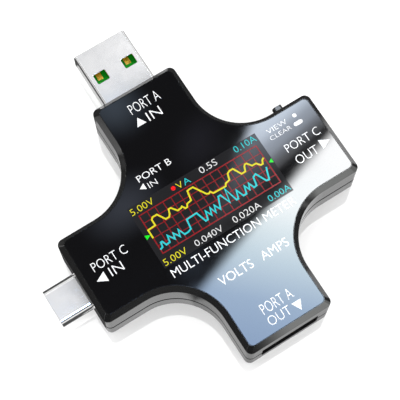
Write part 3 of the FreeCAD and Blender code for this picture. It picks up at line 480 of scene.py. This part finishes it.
YELLOW = (0.80, 0.72, 0.010)
CYAN = (0.02, 0.62, 0.66)
RED = (0.30, 0.005, 0.007)
BRIGHT_RED = (0.95, 0.004, 0.004)
LIT_GREEN = (0.004, 0.90, 0.010)
LIT_WHITE = (0.86, 0.86, 0.86)

SCREEN_BOX = (-14.2, -6.5, 15.5, 7.6)
GRID_LEFT, GRID_BOTTOM, GRID_RIGHT, GRID_TOP = -12.9, -3.7, 14.3, 5.2
GRID_COLUMNS, GRID_ROWS = 15, 5
GRID_LINE, GRID_BORDER, TRACE_WIDTH = 0.15, 0.22, 0.33

VOLTAGE_TRACE = (
    (-12.9, -0.1), (-12.9, 1.8), (-11.2, 1.9), (-11.2, 3.2), (-10.8, 3.6), (-9.8, 3.6), (-8.8, 1.9),
    (-8.0, 1.9), (-7.6, 2.4), (-7.3, 3.3), (-6.8, 3.3), (-5.9, 2.1), (-5.1, 2.2), (-4.8, 2.4), (-4.4, 1.7),
    (-4.0, 1.7), (-3.6, 2.3), (-2.6, 2.5), (-2.2, 4.5), (-1.7, 4.6), (-0.9, 4.6), (0.66, 2.0), (1.1, 1.8),
    (1.5, 2.0), (1.9, 1.4), (4.7, 1.3), (5.0, 1.8), (6.0, 2.0), (6.4, 3.3), (7.0, 3.6), (7.8, 3.6),
    (8.7, 1.8), (9.6, 1.8), (10.0, 2.8), (10.3, 3.1), (10.7, 3.1), (11.4, 2.1), (12.3, 2.1), (12.9, 1.3),
    (13.4, 1.3), (13.7, 2.0), (14.2, 2.3),
)
CURRENT_TRACE = (
    (-12.9, -2.8), (-12.3, -2.6), (-12.1, -1.6), (-11.8, -1.6), (-11.4, -2.6), (-10.6, -2.5), (-10.3, -1.1),
    (-9.4, -2.5), (-9.1, -1.3), (-8.3, -2.6), (-7.9, -1.2), (-7.3, -2.7), (-6.5, -2.7), (-5.7, -2.4),
    (-5.4, -0.4), (-3.5, -0.3), (-3.1, -0.3), (-2.4, -2.6), (-1.9, -2.6), (-1.4, -0.9), (-0.8, -2.2),
    (-0.3, -0.8), (0.2, -2.2), (0.66, -0.8), (1.3, -2.1), (2.3, 0.3), (2.8, 0.3), (3.6, -1.9),
    (4.2, 0.9), (5.0, -2.2), (5.4, -2.2), (6.0, -0.5), (6.6, -2.2), (7.3, -2.2), (7.8, -0.6),
    (8.3, -1.8), (8.8, -0.6), (9.3, -1.9), (9.9, -1.8), (10.3, 0.0), (11.0, 0.3), (12.1, -2.0),
    (12.7, -2.1), (13.2, -0.6), (13.6, 0.4),
)

READOUTS = {
    "screen_readouts_voltage": (YELLOW, (
        ("5.00V", (-14.0, 5.8, -8.9, 7.2)), ("V", (-3.5, 5.7, -2.2, 7.0)),
        ("5.00V", (-13.8, -6.2, -8.7, -4.8)),
    )),
    "screen_readouts_current": (CYAN, (
        ("A", (-2.0, 5.7, -0.5, 7.0)), ("0.10A", (10.1, 6.0, 15.1, 7.4)), ("0.00A", (10.3, -6.1, 15.3, -4.8)),
    )),
    "screen_readouts_plain": (LIT_WHITE, (
        ("0.5S", (2.0, 6.0, 5.9, 7.4)), ("0.040V", (-6.7, -6.1, -0.4, -4.8)),
        ("0.020A", (2.1, -6.1, 8.4, -4.7)),
    )),
}

grid_xs = [GRID_LEFT + (GRID_RIGHT - GRID_LEFT) * step / GRID_COLUMNS for step in range(GRID_COLUMNS + 1)]
grid_ys = [GRID_BOTTOM + (GRID_TOP - GRID_BOTTOM) * step / GRID_ROWS for step in range(GRID_ROWS + 1)]

slab("screen_face", [rectangle(*SCREEN_BOX)], SCREEN_LIFT, screen_face())
slab("screen_grid", lattice(grid_xs, grid_ys, GRID_LINE, GRID_BORDER), GRID_LIFT, lit("lit_red", RED))
slab("screen_trace_voltage", ribbon_faces(VOLTAGE_TRACE, TRACE_WIDTH), TRACE_LIFT, lit("lit_yellow", YELLOW))
slab(
    "screen_trace_current", ribbon_faces(CURRENT_TRACE, TRACE_WIDTH), TRACE_LIFT + LAYER,
    lit("lit_cyan", CYAN),
)
slab("screen_record_dot", [disc(-4.25, 6.45, 0.46)], READOUT_LIFT, lit("lit_bright_red", BRIGHT_RED))
slab(
    "screen_level_marks",
    [[(-14.1, 1.2), (-14.1, 0.2), (-13.0, 0.7)], [(15.4, 1.4), (14.6, 0.9), (15.4, 0.4)]],
    READOUT_LIFT, lit("lit_green", LIT_GREEN),
)
for name, (colour, words) in READOUTS.items():
    faces = [face for text, box in words for face in letters(text, box, -0.008)]
    slab(name, faces, READOUT_LIFT, lit(name.replace("screen", "lit"), colour))

# ---------------------------------------------------------------- studio

CAMERA_PLACE = Vector((-39.86, -61.865, 248.34)) * MM
CAMERA_TURN = (17.444, 0.269, -32.271)
LENS, SENSOR = 114.05, 36.0

camera_data = bpy.data.cameras.new("camera")
camera_data.lens = LENS
camera_data.sensor_width = SENSOR
camera_data.clip_start = 0.01
camera_data.clip_end = 10.0
camera = bpy.data.objects.new("camera", camera_data)
camera.location = CAMERA_PLACE
camera.rotation_euler = [math.radians(angle) for angle in CAMERA_TURN]
bpy.context.scene.collection.objects.link(camera)
bpy.context.scene.camera = camera

view_settings = bpy.context.scene.view_settings
view_settings.view_transform = "Standard"
view_settings.look = "None"
view_settings.exposure = 0.0
view_settings.gamma = 1.0


def staged(name, corners, material):
    """A flat sheet of studio equipment."""
    mesh = bpy.data.meshes.new(name)
    mesh.from_pydata(corners, [], [tuple(range(len(corners)))])
    mesh.materials.append(material)
    sheet = bpy.data.objects.new(name, mesh)
    bpy.context.scene.collection.objects.link(sheet)
    return sheet


def reflector(name, corners, material):
    """A card that shows only in blurred reflections."""
    card = staged(name, corners, material)
    card.visible_camera = False
    card.visible_diffuse = False
    card.visible_shadow = False
    card.visible_transmission = False
    card.visible_volume_scatter = False
    return card


def sheet(left, bottom, right, top):
    """Corners in metres of a sheet that lies just over the floor, from a box in millimetres."""
    return [(x * MM, y * MM, 0.03 * MM) for x, y in rectangle(left, bottom, right, top)]


def card_material(name, build):
    """Light from build(tree, place), for the first blurred reflection only: later ones see past the card."""
    material = bpy.data.materials.new(name)
    material.use_nodes = True
    tree = material.node_tree
    tree.nodes.clear()
    place = add_node(tree, "TexCoord").outputs["Object"]
    light = add_node(tree, "Emission", {"Color": build(tree, place), "Strength": 1.0})
    clear = add_node(tree, "BsdfTransparent")
    path = add_node(tree, "LightPath")
    later = math_node(tree, "GREATER_THAN", path.outputs["Ray Depth"], 1.5)
    past = math_node(tree, "MAXIMUM", path.outputs["Is Singular Ray"], later)
    mixed = add_node(tree, "MixShader", {0: past, 1: light, 2: clear})
    output = add_node(tree, "OutputMaterial")
    tree.links.new(mixed.outputs[0], output.inputs["Surface"])
    return material


# The overhead card hangs this high over the panel. The camera sees each point of it in one point of the
# panel, so its gradients are laid out in the panel's own millimetres, scaled and shifted to the card.
CARD_RISE = 300.0
CAMERA_RISE = CAMERA_PLACE.z / MM - PANEL_TOP / MM
CARD_SCALE = 1 + CARD_RISE / CAMERA_RISE
CARD_SHIFT = Vector((CAMERA_PLACE.x, CAMERA_PLACE.y)) / MM * (1 - CARD_SCALE)
GLOSS = 0.0403    # share of light that the acrylic mirrors at the camera's angle


def on_card(x, y):
    """The point of the overhead card that shows at the panel's (x, y), in metres."""
    height = PANEL_TOP + CARD_RISE * MM
    return ((x * CARD_SCALE + CARD_SHIFT.x) * MM, (y * CARD_SCALE + CARD_SHIFT.y) * MM, height)


def blob(tree, x, y, centre, radii, turn, colour):
    """A soft patch of light."""
    cos, sin = math.cos(turn), math.sin(turn)
    dx = math_node(tree, "SUBTRACT", x, centre[0])
    dy = math_node(tree, "SUBTRACT", y, centre[1])
    along = math_node(tree, "ADD", math_node(tree, "MULTIPLY", dx, cos / radii[0]),
                      math_node(tree, "MULTIPLY", dy, sin / radii[0]))
    across = math_node(tree, "SUBTRACT", math_node(tree, "MULTIPLY", dy, cos / radii[1]),
                       math_node(tree, "MULTIPLY", dx, sin / radii[1]))
    far = math_node(tree, "SQRT", math_node(
        tree, "ADD", math_node(tree, "MULTIPLY", along, along), math_node(tree, "MULTIPLY", across, across),
    ))
    return scaled(tree, colour, spread(tree, far, 0.0, 1.0, 1.0, 0.0))


def overhead(tree, place):
    """The overhead card's light: a wide soft box, a narrower one beyond it, and faint spill."""
    scale = 1 / (MM * CARD_SCALE)
    shift = (-CARD_SHIFT.x / CARD_SCALE, -CARD_SHIFT.y / CARD_SCALE, 0)
    inputs = {0: place, 1: (scale, scale, 0), 2: shift}
    spot = add_node(tree, "SeparateXYZ", {0: add_node(tree, "VectorMath", inputs, operation="MULTIPLY_ADD")})
    x, y = spot.outputs["X"], spot.outputs["Y"]

    above = math_node(
        tree, "ADD", math_node(tree, "MULTIPLY", x, -0.313), math_node(tree, "MULTIPLY", y, 0.95),
    )
    main = spread(tree, above, -11.1, -8.2, 1.0, 0.0)
    fade = spread(tree, math_node(tree, "ADD", x, y), -40, 20, 0, 1, "LINEAR")
    main_colour = ramp(tree, fade, (
        (0.0, (0.24, 0.34, 0.52)), (0.27, (0.33, 0.44, 0.60)), (0.47, (0.54, 0.66, 0.75)),
        (0.6, (0.70, 0.80, 0.85)), (0.73, (0.90, 0.95, 0.97)), (1.0, (0.98, 0.99, 1.0)),
    ))

    edge = math_node(tree, "SUBTRACT", x, math_node(tree, "ADD", math_node(tree, "MULTIPLY", y, 1.35), 3.2))
    slope = math_node(tree, "MULTIPLY", math_node(tree, "SUBTRACT", x, 20), 0.2)
    height = math_node(tree, "SUBTRACT", y, slope)
    rise = ramp(tree, spread(tree, height, -1.2, 9.0, 0, 1, "LINEAR"), (
        (0.0, (0.0, 0.0, 0.0)), (0.059, (0.015, 0.015, 0.016)), (0.118, (0.060, 0.062, 0.066)),
        (0.196, (0.090, 0.095, 0.104)), (0.314, (0.150, 0.163, 0.188)), (0.431, (0.25, 0.279, 0.327)),
        (0.588, (0.30, 0.337, 0.398)), (0.824, (0.53, 0.60, 0.70)), (1.0, (0.58, 0.65, 0.75)),
    ))
    second = math_node(tree, "MULTIPLY", spread(tree, edge, -2.2, 2.2, 0, 1), spread(tree, main, 0, 1, 1, 0))

    spills = (
        ((-14.5, 8.5), (11, 7.5), 0.1, (0.030, 0.034, 0.044)),
        ((-5.5, 27.5), (9.0, 8.0), -0.9, (0.036, 0.046, 0.060)),
        ((5.0, 12.0), (9.0, 6.0), 0.6, (0.007, 0.007, 0.010)),
        ((-9.5, -8.5), (6.0, 4.5), 0.3, (0.010, 0.014, 0.020)),
    )
    plug_a = spread(tree, y, 28.9, 30.6, 0.0, spread(tree, x, 0.0, 4.0, 0.0355, 0.042))
    plug_c = spread(tree, x, -28.9, -30.6, 0.0, spread(tree, x, -36.5, -31.0, 0.034, 0.0395))
    terms = [scaled(tree, main_colour, main), scaled(tree, rise, second), scaled(tree, (1, 1, 1), plug_a),
             scaled(tree, (1, 1, 1), plug_c), (0.0045, 0.0045, 0.005)]
    inside = math_node(
        tree, "MULTIPLY", spread(tree, y, 28.6, 29.6, 1.0, 0.0), spread(tree, x, -29.6, -28.6, 0.0, 1.0),
    )
    terms += [scaled(tree, blob(tree, x, y, *spill), inside) for spill in spills]
    return scaled(tree, total(tree, terms), 1 / GLOSS)


def front_glow(tree, place):
    """The low card before the meter: dark at its left and along its foot, light at its right."""
    spot = add_node(tree, "SeparateXYZ", {0: place})
    level = spread(tree, spot.outputs["X"], -3.0 * MM, 8.0 * MM, 0.15, 2.15)
    edge = spread(tree, spot.outputs["X"], 42.0 * MM, 50.0 * MM, 1.0, 0.6)
    foot = spread(tree, spot.outputs["Z"], 2.0 * MM, 4.5 * MM, 0.1, 1.0)
    shape = math_node(tree, "MULTIPLY", edge, foot)
    return scaled(tree, (1.0, 1.02, 1.0), math_node(tree, "MULTIPLY", level, shape))


# What the first blurred reflection sees on the floor: a dim ground, with soft-edged patches of light on it as
# (left, bottom, right, top, width of the soft edge) in millimetres, and a level.
GROUND = 0.09
PATCHES = (
    ((-31.5, -14.0, -9.0, -8.0, 1.5), 0.80), ((9.0, -14.0, 34.0, -8.0, 1.5), 0.80),
    ((-13.5, -31.5, -8.0, -9.0, 1.5), 0.57), ((-11.5, -33.5, 13.0, -28.0, 1.5), 0.57),
    ((-13.5, 9.0, -8.0, 31.0, 1.5), 0.55), ((-8.2, 29.0, -5.0, 44.0, 1.0), 0.70),
    ((5.0, 29.0, 15.0, 43.6, 2.0), 0.95), ((-38.5, -6.5, -30.8, 6.5, 0.8), 0.45),
    ((42.5, -8.0, 62.0, 8.2, 5.0), 1.05), ((28.0, -30.0, 34.0, -17.5, 4.0), 1.0),
    ((35.5, 15.0, 44.0, 23.5, 2.0), 1.1), ((9.5, 40.5, 16.5, 52.0, 2.0), 0.75),
    ((55.0, -69.0, 78.0, -58.0, 6.0), 1.0), ((-160.0, 42.0, -57.0, 59.0, 10.0), 0.95),
    ((-50.0, 42.0, -36.0, 62.0, 6.0), 0.25),
)


def patch(tree, x, y, box, level):
    """A rectangle of light with soft edges."""
    left, bottom, right, top, soft = (value * MM for value in box)

    def side(place, edge, outside, inside):
        return spread(tree, place, edge - soft / 2, edge + soft / 2, outside, inside)

    sides = (side(x, left, 0, 1), side(x, right, 1, 0), side(y, bottom, 0, 1), side(y, top, 1, 0))
    share = math_node(tree, "MINIMUM", math_node(tree, "MINIMUM", sides[0], sides[1]),
                      math_node(tree, "MINIMUM", sides[2], sides[3]))
    return math_node(tree, "MULTIPLY", share, level)


def ground_light(tree, place):
    """The light of the floor in blurred reflections."""
    spot = add_node(tree, "SeparateXYZ", {0: place})
    level = GROUND
    for box, strength in PATCHES:
        light = patch(tree, spot.outputs["X"], spot.outputs["Y"], box, strength)
        level = math_node(tree, "MAXIMUM", level, light)
    return scaled(tree, (1.0, 1.0, 1.0), level)


# Half the overhead card's width, in the panel's millimetres. The upright cards are (left, right) and
# (bottom, top) in metres, at a distance along y: one before the meter, and a dark one beyond the USB-A plug.
OVERHEAD_SPAN = 48
FRONT_Y, FRONT_X, FRONT_Z = -0.07, (-0.5, 0.4), (0, 0.016)
PLUG_Y, PLUG_X, PLUG_Z = 0.06, (-0.008, 0.030), (0.014, 0.042)
DARK = (0.03, 0.03, 0.03, 1)
GROUND_BOX = (-500, -69.9, 400, 400)


def upright(y, across, up):
    """Corners of a sheet that stands across the y axis."""
    return [(across[0], y, up[0]), (across[1], y, up[0]), (across[1], y, up[1]), (across[0], y, up[1])]


reflector(
    "card_overhead",
    [on_card(x * OVERHEAD_SPAN, y * OVERHEAD_SPAN) for x, y in ((-1, -1), (-1, 1), (1, 1), (1, -1))],
    card_material("light_overhead", overhead),
)
reflector("card_front", upright(FRONT_Y, FRONT_X, FRONT_Z), card_material("light_front", front_glow))
reflector("card_ground", sheet(*GROUND_BOX), card_material("light_ground", ground_light))
reflector(
    "card_plug", upright(PLUG_Y, PLUG_X, PLUG_Z),
    card_material("light_plug", lambda tree, place: DARK),
)


MIRROR_SHARE, FLOOR_GLOW = 0.28, 0.35


def floor_material():
    """Polished white acrylic on a light table: even white, with a weak mirror image."""
    material = bpy.data.materials.new("floor_white")
    material.use_nodes = True
    tree = material.node_tree
    tree.nodes.clear()
    paint = add_node(tree, "BsdfDiffuse", {"Color": (0.9, 0.9, 0.9, 1)})
    glow = add_node(tree, "Emission", {"Color": (1, 1, 1, 1), "Strength": FLOOR_GLOW})
    mirror = add_node(tree, "BsdfGlossy", {"Color": (1, 1, 1, 1), "Roughness": 0.0})
    matt = add_node(tree, "AddShader", {0: paint, 1: glow})
    mixed = add_node(tree, "MixShader", {0: MIRROR_SHARE, 1: matt, 2: mirror})
    output = add_node(tree, "OutputMaterial")
    tree.links.new(mixed.outputs[0], output.inputs["Surface"])
    return material


FLOOR_REACH, FLOOR_DROP = 3.0, 0.02 * MM
staged(
    "floor",
    [(x * FLOOR_REACH, y * FLOOR_REACH, -FLOOR_DROP) for x, y in ((-1, -1), (1, -1), (1, 1), (-1, 1))],
    floor_material(),
)

# The room: white to the eye and in mirror images, an even soft light, and in blurred reflections a bright
# band between a dim horizon and a dim ceiling, with a bright stretch of horizon towards +X.
world = bpy.data.worlds.new("studio")
world.use_nodes = True
bpy.context.scene.world = world
tree = world.node_tree
tree.nodes.clear()
path = add_node(tree, "LightPath")
direction = add_node(tree, "SeparateXYZ", {0: add_node(tree, "TexCoord").outputs["Generated"]})
low = spread(tree, direction.outputs["Z"], 0.36, 0.46, 0.04, 1.0)
high = spread(tree, direction.outputs["Z"], 0.74, 0.84, 1.0, 0.2)
right = math_node(
    tree, "MULTIPLY", spread(tree, direction.outputs["X"], 0.3, 0.6, 0.0, 1.0),
    spread(tree, direction.outputs["Z"], -0.05, 0.05, 0.0, 1.0),
)
horizon = math_node(tree, "MINIMUM", math_node(tree, "MAXIMUM", low, right), high)
ROOM_LIGHT = 1.35
soft = math_node(tree, "MULTIPLY", path.outputs["Is Diffuse Ray"], ROOM_LIGHT)
blurred = math_node(
    tree, "MULTIPLY", horizon,
    math_node(tree, "SUBTRACT", path.outputs["Is Glossy Ray"], path.outputs["Is Singular Ray"]),
)
plain = math_node(tree, "MAXIMUM", path.outputs["Is Camera Ray"], path.outputs["Is Singular Ray"])
strength = math_node(tree, "ADD", math_node(tree, "ADD", soft, blurred), plain)
background = add_node(tree, "Background", {"Color": (1, 1, 1, 1), "Strength": strength})
output = add_node(tree, "OutputWorld")
tree.links.new(background.outputs[0], output.inputs["Surface"])

LAMP_WIDTH, LAMP_POWER, LAMP_PLACE = 0.25, 0.35, (0.05, 0.22, 0.42)
key_data = bpy.data.lights.new("key", "AREA")
key_data.shape = "DISK"
key_data.size = LAMP_WIDTH
key_data.energy = LAMP_POWER
key = bpy.data.objects.new("key", key_data)
key.location = LAMP_PLACE
key.rotation_euler = (Vector((0, 0, 0)) - key.location).to_track_quat("-Z", "Y").to_euler()
key.visible_glossy = False
bpy.context.scene.collection.objects.link(key)
